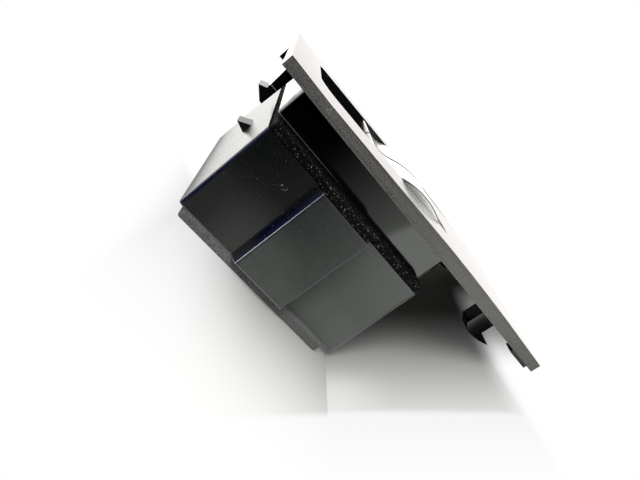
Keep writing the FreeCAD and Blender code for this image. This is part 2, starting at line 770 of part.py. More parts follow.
# Connector header: the socket that the vehicle's plug enters from below
def make_header():
    body = new_body("connector_header")

    def plan(inset):
        return rectangle(
            f"header_x - header_length / 2 + {inset}",
            f"header_x + header_length / 2 - {inset}",
            f"header_y - header_width / 2 + {inset}",
            f"header_y + header_width / 2 - {inset}",
        )

    extrude(body, "Pad", "shroud", "XY", "header_recess", [plan("0")], "board_level - header_recess", "up")
    round_edges(body, "shroud_corners", "1.0", lambda edge, middle: upright(edge))
    socket_depth = "board_level - header_recess - header_floor"
    extrude(body, "Pocket", "socket", "XY", "header_recess", [plan("header_wall")], socket_depth, "up")
    keyway = rectangle(
        "header_x - 2.0",
        "header_x + 2.0",
        "header_y + header_width / 2 - header_wall",
        "header_y + header_width / 2",
    )
    extrude(body, "Pocket", "latch_slot", "XY", "header_recess", [keyway], "6.0", "up")
    slots = [pin_plan(x, y, "0.02") for x, y in pin_places()]
    extrude(body, "Pocket", "pin_slots", "XY", "board_level - header_floor", slots, "header_floor", "up")
    return body


# Terminals: separate blades through the header and the board
def make_pins():
    blades = []
    for i, (x, y) in enumerate(pin_places(), start=1):
        blade = doc.addObject("Part::Box", f"blade_{i}")
        blade.setExpression("Length", bind("pin_wide"))
        blade.setExpression("Width", bind("pin_thin"))
        blade.setExpression("Height", bind("pin_length + header_floor + board_thickness + 0.8"))
        blade.setExpression("Placement.Base.x", bind(f"{x} - pin_wide / 2"))
        blade.setExpression("Placement.Base.y", bind(f"{y} - pin_thin / 2"))
        blade.setExpression("Placement.Base.z", bind("board_level - header_floor - pin_length"))
        blades.append(blade)
    group = doc.addObject("Part::Compound", "terminal_pins")
    group.Label = "terminal_pins"
    group.Links = blades
    nodes.append(group)


# Pan-head screws: a group of separate solids, each with a cross slot in its head
def make_screws(label, places, seat, length):
    screws = []
    for i, (x, y) in enumerate(places, start=1):
        head = doc.addObject("Part::Cylinder", f"{label}_head_{i}")
        head.setExpression("Radius", bind("head_radius"))
        head.setExpression("Height", bind("head_height"))
        shank = doc.addObject("Part::Cylinder", f"{label}_shank_{i}")
        shank.setExpression("Radius", bind("screw_radius"))
        shank.setExpression("Height", bind(f"head_height + {length}"))
        both = doc.addObject("Part::Fuse", f"{label}_blank_{i}")
        both.Base = head
        both.Tool = shank
        slot = doc.addObject("Part::Box", f"{label}_slot_{i}")
        slot.setExpression("Length", bind("head_radius * 1.3"))
        slot.Width = 0.6
        slot.Height = 0.9
        slot.setExpression("Placement.Base.x", bind("-head_radius * 0.65"))
        slot.Placement.Base.y = -0.3
        across = doc.addObject("Part::Box", f"{label}_across_{i}")
        across.Length = 0.6
        across.setExpression("Width", bind("head_radius * 1.3"))
        across.Height = 0.9
        across.setExpression("Placement.Base.y", bind("-head_radius * 0.65"))
        across.Placement.Base.x = -0.3
        cross = doc.addObject("Part::Fuse", f"{label}_cross_{i}")
        cross.Base = slot
        cross.Tool = across
        screw = doc.addObject("Part::Cut", f"{label}_{i}")
        screw.Base = both
        screw.Tool = cross
        screw.setExpression("Placement.Base.x", bind(x))
        screw.setExpression("Placement.Base.y", bind(y))
        screw.setExpression("Placement.Base.z", bind(f"{seat} - head_height"))
        screws.append(screw)
    group = doc.addObject("Part::Compound", label)
    group.Label = label
    group.Links = screws
    nodes.append(group)


# Relays: two sealed cases under the board that reverse the window motors
def make_relay(side):
    body = new_body(f"relay_{side}")
    place = f"relay_{side}_y"
    case = rectangle(
        "relay_x - relay_length / 2",
        "relay_x + relay_length / 2",
        f"{place} - relay_width / 2",
        f"{place} + relay_width / 2",
    )
    extrude(body, "Pad", "case", "XY", "board_level - relay_foot", [case], "relay_height", "down")
    case_foot = "board_level - relay_foot - relay_height"
    round_edges(body, "case_edges", "relay_chamfer", lambda edge, middle: near(middle.z, case_foot), "Chamfer")
    feet = []
    for x_sign in ("-", "+"):
        for y_sign in ("-", "+"):
            x = f"relay_x {x_sign} (relay_length / 2 - 1.5)"
            y = f"{place} {y_sign} (relay_width / 2 - 1.5)"
            feet.append(rectangle(f"{x} - 0.8", f"{x} + 0.8", f"{y} - 0.8", f"{y} + 0.8"))
    extrude(body, "Pad", "feet", "XY", "board_level - relay_foot", feet, "relay_foot", "up")
    return body


# Control chip: a moulded case with gull-wing legs along two sides
def make_chip():
    body = new_body("control_chip")
    case = rectangle(
        "chip_x - chip_length / 2",
        "chip_x + chip_length / 2",
        "chip_y - chip_width / 2",
        "chip_y + chip_width / 2",
    )
    extrude(body, "Pad", "case", "XY", "board_top + 0.1", [case], "chip_height", "up")
    legs = [
        ("chip_y - chip_width / 2 + 0.2", "board_top + 1.2"),
        ("chip_y - chip_width / 2 - 0.6", "board_top + 1.2"),
        ("chip_y - chip_width / 2 - 0.8", "board_top"),
        ("chip_y - chip_width / 2 - 1.5", "board_top"),
        ("chip_y - chip_width / 2 - 1.5", "board_top + 0.25"),
        ("chip_y - chip_width / 2 - 1.0", "board_top + 0.25"),
        ("chip_y - chip_width / 2 - 0.8", "board_top + 1.45"),
        ("chip_y - chip_width / 2 + 0.2", "board_top + 1.45"),
    ]
    other = [(f"2 * chip_y - ({y})", z) for y, z in legs]
    for i in range(6):
        place = f"chip_x + {i - 2.5} * 1.6"
        extrude(body, "Pad", f"legs_{i + 1}", "YZ", place, [legs, other], "0.5", "both")
    return body


# Filter capacitor: a can that hangs under the board
def make_capacitor():
    body = new_body("filter_capacitor")
    can = [("capacitor_x", "capacitor_y", "capacitor_radius")]
    extrude(body, "Pad", "can", "XY", "board_level", can, "capacitor_height", "down")
    can_foot = "board_level - capacitor_height"
    round_edges(body, "can_edge", "can_chamfer", lambda edge, middle: near(middle.z, can_foot), "Chamfer")
    return body


# Chip resistors: separate small blocks on the board beside the chip
def make_resistors():
    blocks = []
    for i in range(8):
        block = doc.addObject("Part::Box", f"resistor_{i + 1}")
        block.Length = 1.0
        block.Width = 2.0
        block.Height = 0.6
        block.setExpression("Placement.Base.x", bind(f"chip_x - 5.0 + {i % 4} * 2.6"))
        block.setExpression("Placement.Base.y", bind(f"chip_y + 8.0 + {i // 4} * 3.6"))
        block.setExpression("Placement.Base.z", bind("board_top"))
        blocks.append(block)
    group = doc.addObject("Part::Compound", "chip_resistors")
    group.Label = "chip_resistors"
    group.Links = blocks
    nodes.append(group)


make_bezel()
make_housing()
make_lid()
make_seal()
for side in KNOB_PLACES:
    make_knob(side)
for side in KNOB_PLACES:
    for end in PLUNGER_PLACES:
        make_plunger(side, end)
make_mat()
make_board()
make_header()
make_pins()
make_screws("bezel_screws", BOSSES, "wall_under", "bezel_screw_length")
make_screws("board_screws", POSTS, "board_level", "board_thickness + board_screw_length - 0.6")
for side in KNOB_PLACES:
    make_relay(side)
make_chip()
make_capacitor()
make_resistors()

doc.recompute()
failed = [item.Name for item in doc.Objects if "Invalid" in item.State or "Error" in item.State]
if failed:
    raise RuntimeError(f"failed: {failed}")
for node in nodes:
    if node.Shape.isNull() or not node.Shape.isValid():
        raise RuntimeError(f"{node.Label} has no valid shape")

os.makedirs("parts", exist_ok=True)
for node in nodes:
    node.Shape.exportStep(f"parts/{node.Label}.step")
    box = node.Shape.BoundBox
    print(
        f"{node.Label}: {len(node.Shape.Solids)} solids, {node.Shape.Volume:.0f} mm3,"
        f" x {box.XMin:.2f}..{box.XMax:.2f}, y {box.YMin:.2f}..{box.YMax:.2f}, z {box.ZMin:.2f}..{box.ZMax:.2f}"
    )
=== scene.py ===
import json
import math
import bpy
from mathutils import Matrix, Vector

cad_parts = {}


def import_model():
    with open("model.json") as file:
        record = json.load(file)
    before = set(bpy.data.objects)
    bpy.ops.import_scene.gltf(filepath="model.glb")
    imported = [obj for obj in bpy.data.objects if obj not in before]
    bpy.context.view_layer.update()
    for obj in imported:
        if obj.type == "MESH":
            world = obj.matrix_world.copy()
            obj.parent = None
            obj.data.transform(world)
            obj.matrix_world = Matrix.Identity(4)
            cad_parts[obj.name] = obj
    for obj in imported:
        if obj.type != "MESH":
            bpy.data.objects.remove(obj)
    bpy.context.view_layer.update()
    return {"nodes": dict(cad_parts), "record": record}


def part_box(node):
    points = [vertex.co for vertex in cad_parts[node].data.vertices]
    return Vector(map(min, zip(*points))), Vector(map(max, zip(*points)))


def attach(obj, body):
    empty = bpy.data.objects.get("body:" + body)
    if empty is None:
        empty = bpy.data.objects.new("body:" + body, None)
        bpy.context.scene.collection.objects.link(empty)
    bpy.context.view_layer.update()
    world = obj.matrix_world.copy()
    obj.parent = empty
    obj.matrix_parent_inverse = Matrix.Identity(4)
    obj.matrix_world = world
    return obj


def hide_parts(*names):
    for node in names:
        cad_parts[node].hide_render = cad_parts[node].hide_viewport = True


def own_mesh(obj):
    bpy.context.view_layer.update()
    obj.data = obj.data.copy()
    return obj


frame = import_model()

# Power window switch: a crowned faceplate with a skirt and a finger well, two rocker knobs,
# a foam seal and a stepped switch block. Metres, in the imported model's own frame.

MM = 0.001
scene = bpy.context.scene

# Places that the finishes follow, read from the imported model
bezel_low, bezel_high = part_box("bezel")
lid_low, lid_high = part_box("bottom_cover")
block_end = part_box("switch_housing")[0].x
seal_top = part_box("foam_seal")[1].z
board_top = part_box("circuit_board")[1].z

# The faceplate's edge strip: its foot and top, how deep its finish reaches in from the outline, the
# seam across it, and where the pad under its end begins
STRIP_FOOT = bezel_high.z - 4.03 * MM
STRIP_TOP = bezel_high.z - 0.93 * MM
STRIP_DEPTH = 0.3 * MM
SEAM = 16.1 * MM
END_PAD = 44.0 * MM

# The block's stepped side: where the first facet ends, the ridge after it, and the second step.
# What lies before FACET_BACK in Y is that side.
STEP_ONE = -27.3 * MM
RIDGE = -25.25 * MM
STEP_TWO = -7.15 * MM
FACET_BACK = -29.0 * MM
FACET_FOOT = 3.0 * MM

# The thickness of the rubber mat's sheet, which the domes stand on
MAT_SHEET = 1.0 * MM


# Shader maths: an expression on values adds the Math nodes that work it out
class Value:
    def __init__(self, finish, socket):
        self.finish = finish
        self.socket = socket

    def math(self, operation, *others):
        return self.finish.node("ShaderNodeMath", {"operation": operation}, [self, *others])

    def __add__(self, other):
        return self.math("ADD", other)

    __radd__ = __add__

    def __sub__(self, other):
        return self.math("SUBTRACT", other)

    def __rsub__(self, other):
        return (self * -1.0).math("ADD", other)

    def __mul__(self, other):
        return self.math("MULTIPLY", other)

    __rmul__ = __mul__

    def __truediv__(self, other):
        return self.math("DIVIDE", other)

    def __pow__(self, other):
        return self.math("POWER", other)

    def __gt__(self, other):
        return self.math("GREATER_THAN", other)

    def __lt__(self, other):
        return self.math("LESS_THAN", other)

    def size(self):
        return self.math("ABSOLUTE")

    def most(self, *others):
        """The largest of this value and the others."""
        largest = self
        for other in others:
            largest = largest.math("MAXIMUM", other)
        return largest

    def near(self, place, reach):
        """1 within this reach of the place, on both sides, and 0 elsewhere."""
        return (self - place).size() < reach


class Finish:
    """A material under construction, with its shader and the object's own coordinates at hand."""

    def __init__(self, name, **constants):
        self.material = bpy.data.materials.new(name)
        self.material.use_nodes = True
        self.tree = self.material.node_tree
        self.shader = self.tree.nodes["Principled BSDF"]
        for socket, setting in constants.items():
            self.shader.inputs[socket.replace("_", " ")].default_value = setting
        self.place = self.node("ShaderNodeTexCoord", {}, {}, "Object")
        split = self.node("ShaderNodeSeparateXYZ", {}, [self.place], None)
        self.x = Value(self, split.outputs["X"])
        self.y = Value(self, split.outputs["Y"])
        self.z = Value(self, split.outputs["Z"])

    def node(self, kind, settings, inputs, output=0):
        """Adds a node with these settings and inputs, and hands over one output, or the node for None."""
        made = self.tree.nodes.new(kind)
        for name, setting in settings.items():
            setattr(made, name, setting)
        pairs = inputs.items() if isinstance(inputs, dict) else enumerate(inputs)
        for socket, feed in pairs:
            if isinstance(feed, Value):
                self.tree.links.new(feed.socket, made.inputs[socket])
            else:
                made.inputs[socket].default_value = feed
        return made if output is None else Value(self, made.outputs[output])

    def noise(self, scale, detail=2.0, stretch=(1.0, 1.0, 1.0), roughness=0.5):
        """Noise over the object, its scale in waves a millimetre."""
        mapped = self.node("ShaderNodeMapping", {}, {"Vector": self.place, "Scale": stretch})
        sockets = {"Vector": mapped, "Scale": scale / MM, "Detail": detail, "Roughness": roughness}
        return self.node("ShaderNodeTexNoise", {}, sockets, "Fac")

    def cells(self, scale):
        """Distance to the nearest of points scattered over the object, so many a millimetre."""
        sockets = {"Vector": self.place, "Scale": scale / MM, "Randomness": 1.0}
        return self.node("ShaderNodeTexVoronoi", {}, sockets, "Distance")

    def specks(self, scale, size):
        """A mask of small round specks, one in a cell at most."""
        return self.step(self.cells(scale), size, size * 0.6)

    def step(self, value, start, end):
        """A smooth step from 0 at the start to 1 at the end."""
        settings = {"interpolation_type": "SMOOTHSTEP"}
        return self.node("ShaderNodeMapRange", settings, [value, start, end, 0.0, 1.0])

    def blend(self, amount, first, second):
        """A colour between two others."""
        return self.node("ShaderNodeMix", {"data_type": "RGBA"}, {0: amount, 6: first, 7: second}, 2)

    def bump(self, height, depth):
        """A relief of this depth in millimetres."""
        return self.node("ShaderNodeBump", {}, {"Height": height, "Distance": depth * MM, "Strength": 1.0})

    def ray(self, kind):
        """1 for rays of this kind: Camera, Glossy or Transmission."""
        return self.node("ShaderNodeLightPath", {}, {}, f"Is {kind} Ray")

    def seen(self):
        """1 for the rays that show a background: straight from the camera, mirrored or through glass."""
        return self.ray("Camera").most(self.ray("Glossy"), self.ray("Transmission"))

    def set(self, **feeds):
        """Gives the shader's sockets their values or links, and hands over the material."""
        for socket, feed in feeds.items():
            target = self.shader.inputs[socket.replace("_", " ")]
            if isinstance(feed, Value):
                self.tree.links.new(feed.socket, target)
            else:
                target.default_value = feed
        return self.material

    def clear_where(self, mask):
        """Makes the material see-through where the mask is 1."""
        clear = self.node("ShaderNodeBsdfTransparent", {}, {}, None)
        mixed = self.node("ShaderNodeMixShader", {}, [mask], None)
        links = self.tree.links
        links.new(self.shader.outputs[0], mixed.inputs[1])
        links.new(clear.outputs[0], mixed.inputs[2])
        links.new(mixed.outputs[0], self.tree.nodes["Material Output"].inputs["Surface"])


def grey(level, tint=(1.0, 1.0, 1.0)):
    """A grey of this level, or a colour near it."""
    return (level * tint[0], level * tint[1], level * tint[2], 1.0)


# Finishes
def faceplate_plastic():
    """Black moulding: a grained, rubbed edge strip, a satin face and a glossy skirt."""
    finish = Finish("faceplate_plastic", Specular_IOR_Level=0.5)
    grain = finish.noise(2.6, 3.0)
    patches = finish.noise(0.12, 3.0)
    end = finish.step(finish.x, bezel_high.x - STRIP_DEPTH, bezel_high.x - 0.05 * MM)
    long_edge = finish.step(finish.y.size(), bezel_high.y - STRIP_DEPTH, bezel_high.y - 0.05 * MM)
    above = finish.step(finish.z, STRIP_FOOT - 0.1 * MM, STRIP_FOOT + 0.1 * MM)
    strip = end.most(long_edge) * above
    face = finish.step(finish.z, STRIP_TOP - 0.2 * MM, STRIP_TOP)

    # Black where the grain is whole, grey where it is rubbed: paler towards -X
    mottle = finish.step(finish.noise(2.6, 4.0, roughness=0.8), 0.38, 0.62)
    worn = strip * (0.7 + 0.5 * patches) * (0.1 + 1.8 * mottle)
    # The pad under the plate's end is painted lighter grey: a painted reflection
    pad_painted_reflection = (finish.x > END_PAD) * (finish.z < STRIP_FOOT) * (finish.z > STRIP_FOOT - 2.0 * MM)
    towards_left = finish.step(finish.x, 20.0 * MM, -45.0 * MM)
    rubbed = finish.blend(towards_left, grey(0.065, (1.0, 0.94, 0.84)), grey(0.19, (1.0, 0.97, 0.92)))
    shade = finish.blend(worn.most(pad_painted_reflection * 0.8), grey(0.006, (1.0, 1.05, 1.1)), rubbed)

    # Scratches, the strip's dark upper border, its seam and groove, and a painted highlight line along the
    # skirt's foot
    shade = finish.blend(scuffs(finish, LIGHT_SCUFFS) * 0.7, shade, grey(0.3))
    shade = finish.blend(scuffs(finish, DARK_SCUFFS), shade, grey(0.002))
    brim = finish.z.near(STRIP_TOP - 0.12 * MM, 0.1 * MM) * long_edge
    shade = finish.blend(brim * 0.7, shade, grey(0.01))
    seam = finish.x.near(SEAM, 0.12 * MM) * strip
    groove = finish.z.near(STRIP_FOOT + 0.75 * MM, 0.07 * MM) * strip * (finish.x < SEAM)
    shade = finish.blend(seam.most(groove * 0.7) * 0.9, shade, grey(0.004))
    # A painted highlight: a pale line along the skirt's foot
    skirt_foot_highlight = finish.z.near(seal_top + 0.15 * MM, 0.12 * MM)
    skirt_foot_highlight = skirt_foot_highlight * finish.step(finish.x, -18.0 * MM, -32.0 * MM)
    shade = finish.blend(skirt_foot_highlight * 0.85, shade, grey(0.5))

    dust = finish.specks(0.5, 0.05) * (finish.noise(0.3) > 0.55)
    shade = finish.blend(dust * 0.4, shade, grey(0.5))
    gloss = 0.08 + 0.44 * strip + 0.04 * face + 0.04 * patches
    relief = finish.bump(grain * (strip + 0.12 * face), 0.05)
    return finish.set(Base_Color=shade, Roughness=gloss, Normal=relief)


# Scratches on the near edge strip: X and Z of the middle in millimetres, lean, half of the height in Z
LIGHT_SCUFFS = (
    (-40.4, 46.9, 0.35, 0.7),
    (-39.9, 46.5, -0.4, 0.6),
    (-40.9, 46.4, 0.1, 0.4),
    (-14.0, 45.9, 0.9, 0.4),
)
DARK_SCUFFS = (
    (-15.4, 45.7, 0.8, 0.5),
    (-14.7, 45.6, 0.8, 0.6),
    (-13.4, 45.5, 0.9, 0.4),
)


def scuffs(finish, marks):
    """Short broken scratches across the near edge strip."""
    near_strip = finish.y < bezel_low.y + 0.2 * MM
    total = None
    for x, z, lean, half in marks:
        up = finish.z - z * MM
        across = (finish.x - x * MM - lean * up).size()
        line = (across < 0.13 * MM) * (up.size() < half * MM) * near_strip
        total = line if total is None else total.most(line)
    return total * (finish.noise(1.5) > 0.4)


def housing_plastic():
    """Black moulding with fine drawn lines up its facets, and a painted reflection that grows lighter towards
    +X.
    """
    finish = Finish("housing_plastic", Specular_IOR_Level=0.4)
    lines = finish.noise(3.2, 4.0, (1.0, 1.0, 0.04), 0.65)
    clouds = finish.noise(0.16, 3.0)
    near_side = finish.y < FACET_BACK

    # Painted reflection: lighter on each facet than on the one before it, and towards the foot
    middle = finish.step(finish.x, STEP_ONE + 1.2 * MM, STEP_ONE + 2.4 * MM)
    last = finish.step(finish.x, STEP_TWO - 0.1 * MM, STEP_TWO + 0.1 * MM)
    rise = finish.step(finish.x, -42.0 * MM, -30.0 * MM)
    foot = 1.0 - finish.step(finish.z, FACET_FOOT, 24.0 * MM)
    painted_reflection = 0.04 + 0.05 * rise + 0.295 * middle + 0.07 * last
    painted_reflection = painted_reflection + foot * (0.03 + 0.42 * rise + 0.1 * middle + 0.17 * last)
    painted_reflection = painted_reflection * near_side * (0.7 + 0.35 * clouds) * (0.9 + 0.2 * lines)
    shade = finish.blend(painted_reflection, grey(0.003, (0.8, 1.1, 1.1)), grey(0.12, (0.95, 1.04, 0.95)))

    # The first step's slope is black, with a painted blue sheen, a painted reflection, along its ridge and
    # along the block's corner
    slope = finish.step((finish.x - (STEP_ONE + 1.0 * MM)).size(), 1.25 * MM, 1.0 * MM) * near_side
    shade = finish.blend(slope, shade, grey(0.002, (0.5, 0.5, 1.0)))
    # Painted reflection: blue at the block's corner and along the ridge
    corner = finish.step(finish.x, -44.6 * MM, -46.0 * MM) * near_side
    painted_blue_sheen = finish.step((finish.x - (RIDGE - 0.1 * MM)).size(), 1.2 * MM, 0.1 * MM) * near_side
    shade = finish.blend(corner.most(painted_blue_sheen) * 0.9, shade, grey(0.035, (0.18, 0.24, 1.0)))
    # Painted highlight lines along the block's edges
    shade = finish.blend(painted_edge_highlights(finish) * near_side, shade, grey(0.75, (0.95, 0.97, 1.0)))

    dust = finish.specks(0.85, 0.14) * finish.step(finish.noise(0.7), 0.46, 0.62)
    fine_dust = finish.specks(1.7, 0.2) * finish.step(finish.noise(0.5), 0.47, 0.6)
    dust = dust.most(fine_dust * 0.4)
    shade = finish.blend(dust * 0.5 * near_side, shade, grey(0.35, (0.95, 1.0, 0.95)))
    shade = finish.blend(curl(finish) * near_side, shade, grey(0.7))
    gloss = 0.22 + 0.1 * last + 0.06 * clouds + 0.05 * lines
    relief = finish.bump(lines * 0.6 + finish.noise(5.0, 2.0) * 0.3, 0.008)
    return finish.set(Base_Color=shade, Roughness=gloss, Normal=relief)


def painted_edge_highlights(finish):
    """Painted highlights along the block's sharp edges: bright along the ridge, thin along the others."""
    ridge = finish.x.near(RIDGE, 0.1 * MM) * (0.55 + 0.45 * finish.step(finish.z, 34.0 * MM, 10.0 * MM))
    second = finish.x.near(STEP_TWO, 0.15 * MM) * 0.36
    echo = finish.x.near(STEP_TWO + 0.9 * MM, 0.12 * MM) * 0.1
    foot = finish.z.near(FACET_FOOT, 0.12 * MM) * (finish.x < STEP_TWO) * 0.3
    corner = finish.x.near(block_end + 0.3 * MM, 0.2 * MM)
    corner = corner * finish.step(finish.z, 26.0 * MM, 4.0 * MM) * 0.22
    return ridge.most(second, echo, foot, corner)


def curl(finish):
    """A small curled scratch on the first facet, with a bright nick beside it and a faint drag line."""
    across = (finish.x + 32.3 * MM) / MM
    up = (finish.z - 26.1 * MM) / MM
    reach = (across * across + up * up) ** 0.5
    ring = reach.near(0.85, 0.08) * (0.7 * across - 0.58 * up > 0.4) * 0.35
    nick_across = across + 0.8
    nick_up = up + 0.2
    nick = ((nick_across * nick_across + nick_up * nick_up) ** 0.5 < 0.17) * 0.8
    drag = (up - 0.85 * across).near(0.2, 0.09) * across.near(-1.9, 1.3) * 0.06
    return ring.most(nick, drag)


def matte_plastic(name, level, tint, roughness, depth):
    """Plain moulded plastic with a fine eroded grain."""
    finish = Finish(name, Specular_IOR_Level=0.4)
    grain = finish.noise(3.0, 3.0)
    clouds = finish.noise(0.2, 2.0)
    shade = finish.blend(0.35 * grain + 0.4 * clouds, grey(level * 0.6, tint), grey(level * 1.6, tint))
    relief = finish.bump(grain, depth)
    return finish.set(Base_Color=shade, Roughness=roughness + 0.1 * clouds, Normal=relief)


def cover_plastic():
    """Matte lid: spark-eroded grain with pale rubbed specks, duller past the block's second step."""
    finish = Finish("cover_plastic", Specular_IOR_Level=0.35)
    grain = finish.noise(2.6, 4.0, roughness=0.75)
    clouds = finish.noise(0.25, 2.0)
    rubbed = finish.step(grain, 0.46, 0.64)
    past_step = finish.step(finish.x, -14.0 * MM, -4.0 * MM)
    pale = finish.blend(past_step, grey(0.44, (1.0, 1.0, 0.96)), grey(0.19, (0.96, 1.03, 0.95)))
    shade = finish.blend(rubbed * 0.75 + clouds * 0.25, grey(0.11), pale)
    relief = finish.bump(grain, 0.06)
    return finish.set(Base_Color=shade, Roughness=0.62 + 0.15 * clouds, Normal=relief)


def foam():
    """Black open-cell foam with painted glints of its cell walls: pale specks in its colour."""
    finish = Finish("foam", Specular_IOR_Level=0.1)
    grain = finish.noise(3.4, 3.0)
    painted_glint = finish.specks(2.0, 0.34) * finish.step(finish.noise(1.1), 0.44, 0.62)
    shade = finish.blend(grain * 0.5, grey(0.001), grey(0.008))
    shade = finish.blend(painted_glint * 0.8, shade, grey(0.5, (1.0, 0.95, 0.88)))
    relief = finish.bump(finish.cells(2.4) + grain * 0.6, 0.25)
    return finish.set(Base_Color=shade, Roughness=0.9 - 0.5 * painted_glint, Normal=relief)


def knob_plastic():
    """Satin black knob, slightly polished where fingers rub it."""
    finish = Finish(
        "knob_plastic", Specular_IOR_Level=0.5, Coat_Weight=0.8, Coat_IOR=1.8, Coat_Roughness=0.12
    )
    grain = finish.noise(3.5, 2.0)
    clouds = finish.noise(0.18, 3.0)
    rubbed = finish.step(finish.z, 47.0 * MM, 50.5 * MM) * clouds
    shade = finish.blend(clouds, grey(0.007), grey(0.014))
    relief = finish.bump(grain, 0.015)
    return finish.set(Base_Color=shade, Roughness=0.24 - 0.1 * rubbed + 0.05 * grain, Normal=relief)


def plunger_plastic():
    """Natural white plungers, faintly milky."""
    finish = Finish("plunger_plastic", Subsurface_Weight=0.1, Subsurface_Scale=1.0 * MM)
    clouds = finish.noise(0.4, 2.0)
    shade = finish.blend(clouds, grey(0.72, (1.0, 0.99, 0.94)), grey(0.82, (1.0, 1.0, 0.97)))
    return finish.set(Base_Color=shade, Roughness=0.42 + 0.1 * clouds, Normal=finish.bump(clouds, 0.02))


def silicone():
    """Matte grey contact mat, with a breath of talc."""
    finish = Finish("silicone", Specular_IOR_Level=0.3)
    clouds = finish.noise(0.5, 3.0)
    shade = finish.blend(clouds, grey(0.36, (0.98, 1.0, 1.02)), grey(0.5))
    return finish.set(Base_Color=shade, Roughness=0.66 + 0.15 * clouds, Normal=finish.bump(clouds, 0.03))


def laminate():
    """Green solder mask, raised and paler over the copper tracks."""
    finish = Finish("laminate", Specular_IOR_Level=0.5)
    bands = {"Vector": finish.place, "Scale": 0.28 / MM, "Distortion": 1.5, "Detail": 1.0}
    waves = finish.node("ShaderNodeTexWave", {"wave_profile": "TRI"}, bands, "Fac")
    tracks = finish.step(waves, 0.45, 0.6)
    clouds = finish.noise(0.2, 2.0)
    shade = finish.blend(tracks, grey(0.045, (0.3, 1.6, 0.6)), grey(0.09, (0.35, 1.7, 0.6)))
    shade = finish.blend(clouds * 0.3, shade, grey(0.03, (0.3, 1.4, 0.6)))
    return finish.set(Base_Color=shade, Roughness=0.3 + 0.1 * clouds, Normal=finish.bump(tracks, 0.035))


def metal(name, color, roughness, scale):
    """Plated metal with fine drawn marks and dull patches."""
    finish = Finish(name, Metallic=1.0)
    marks = finish.noise(scale, 3.0, (1.0, 1.0, 0.15))
    dull = finish.noise(0.5, 2.0)
    shade = finish.blend(dull, grey(0.8, color), grey(1.0, color))
    gloss = roughness + 0.15 * marks + 0.1 * dull
    return finish.set(Base_Color=shade, Roughness=gloss, Normal=finish.bump(marks, 0.01))


FINISHES = {
    "faceplate_plastic": faceplate_plastic(),
    "housing_plastic": housing_plastic(),
    "cover_plastic": cover_plastic(),
    "foam": foam(),
    "knob_plastic": knob_plastic(),
    "plunger_plastic": plunger_plastic(),
    "silicone": silicone(),
    "laminate": laminate(),
    "terminal_brass": metal("terminal_brass", (0.78, 0.7, 0.5), roughness=0.25, scale=4.0),
    "screw_steel": metal("screw_steel", (0.6, 0.6, 0.62), roughness=0.28, scale=3.0),
    "relay_case": matte_plastic("relay_case", 0.03, (1.0, 1.0, 1.1), roughness=0.5, depth=0.03),
    "chip_case": matte_plastic("chip_case", 0.025, (1.0, 1.0, 1.0), roughness=0.55, depth=0.02),
    "capacitor_can": metal("capacitor_can", (0.7, 0.7, 0.72), roughness=0.22, scale=2.0),
}


def dress(obj, slot):
    """Gives a piece the finish of its slot."""
    obj.data.materials.clear()
    obj.data.materials.append(FINISHES[slot])


# Working on pieces as by hand
def take(obj):
    """Makes this the one selected object."""
    bpy.ops.object.select_all(action="DESELECT")
    obj.select_set(True)
    bpy.context.view_layer.objects.active = obj


def edit(obj, *steps):
    """Runs steps in edit mode, each on all of the mesh."""
    take(obj)
    bpy.ops.object.mode_set(mode="EDIT")
    for step in steps:
        bpy.ops.mesh.select_all(action="SELECT")
        step()
    bpy.ops.object.mode_set(mode="OBJECT")


def cut(obj, place, away):
    """Cuts a piece at a plane and clears the side that the plane faces."""
    edit(obj, lambda: bpy.ops.mesh.bisect(plane_co=place, plane_no=away, clear_outer=True))


def apply_modifier(obj, kind, **settings):
    """Adds a modifier with its settings and applies it."""
    take(obj)
    modifier = obj.modifiers.new(kind.lower(), kind)
    for name, setting in settings.items():
        setattr(modifier, name, setting)
    bpy.ops.object.modifier_apply(modifier=modifier.name)


def moulding(node, name, slot, body, edge=0.0):
    """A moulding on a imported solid's form: its flats joined, its edges eased, its curves shaded smooth."""
    crease = math.radians(30.0)
    piece = bpy.data.objects.new(name, frame["nodes"][node].data.copy())
    scene.collection.objects.link(piece)
    edit(
        piece,
        lambda: bpy.ops.mesh.remove_doubles(threshold=0.001 * MM),
        lambda: bpy.ops.mesh.dissolve_limited(angle_limit=math.radians(1.0)),
    )
    if edge:
        apply_modifier(
            piece, "BEVEL", width=edge, segments=2, limit_method="ANGLE",
            angle_limit=crease, use_clamp_overlap=True, miter_outer="MITER_ARC",
        )
    take(piece)
    bpy.ops.object.shade_smooth_by_angle(angle=crease)
    apply_modifier(piece, "WEIGHTED_NORMAL", mode="FACE_AREA", weight=100, keep_sharp=True)
    dress(piece, slot)
    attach(piece, body)
    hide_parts(node)
    return piece


def foam_strip():
    """The seal: a fine open mesh over the solid's form, roughened by its torn cells."""
    piece = moulding("foam_seal", "foam_strip", "foam", "switch")
    apply_modifier(piece, "REMESH", mode="VOXEL", voxel_size=0.38 * MM)
    cells = bpy.data.textures.new("foam_cells", "CLOUDS")
    cells.noise_scale = 0.8 * MM
    apply_modifier(
        piece, "DISPLACE", texture=cells, texture_coords="LOCAL", strength=0.3 * MM, mid_level=0.75
    )
    take(piece)
    bpy.ops.object.shade_smooth()
    dress(piece, "foam")


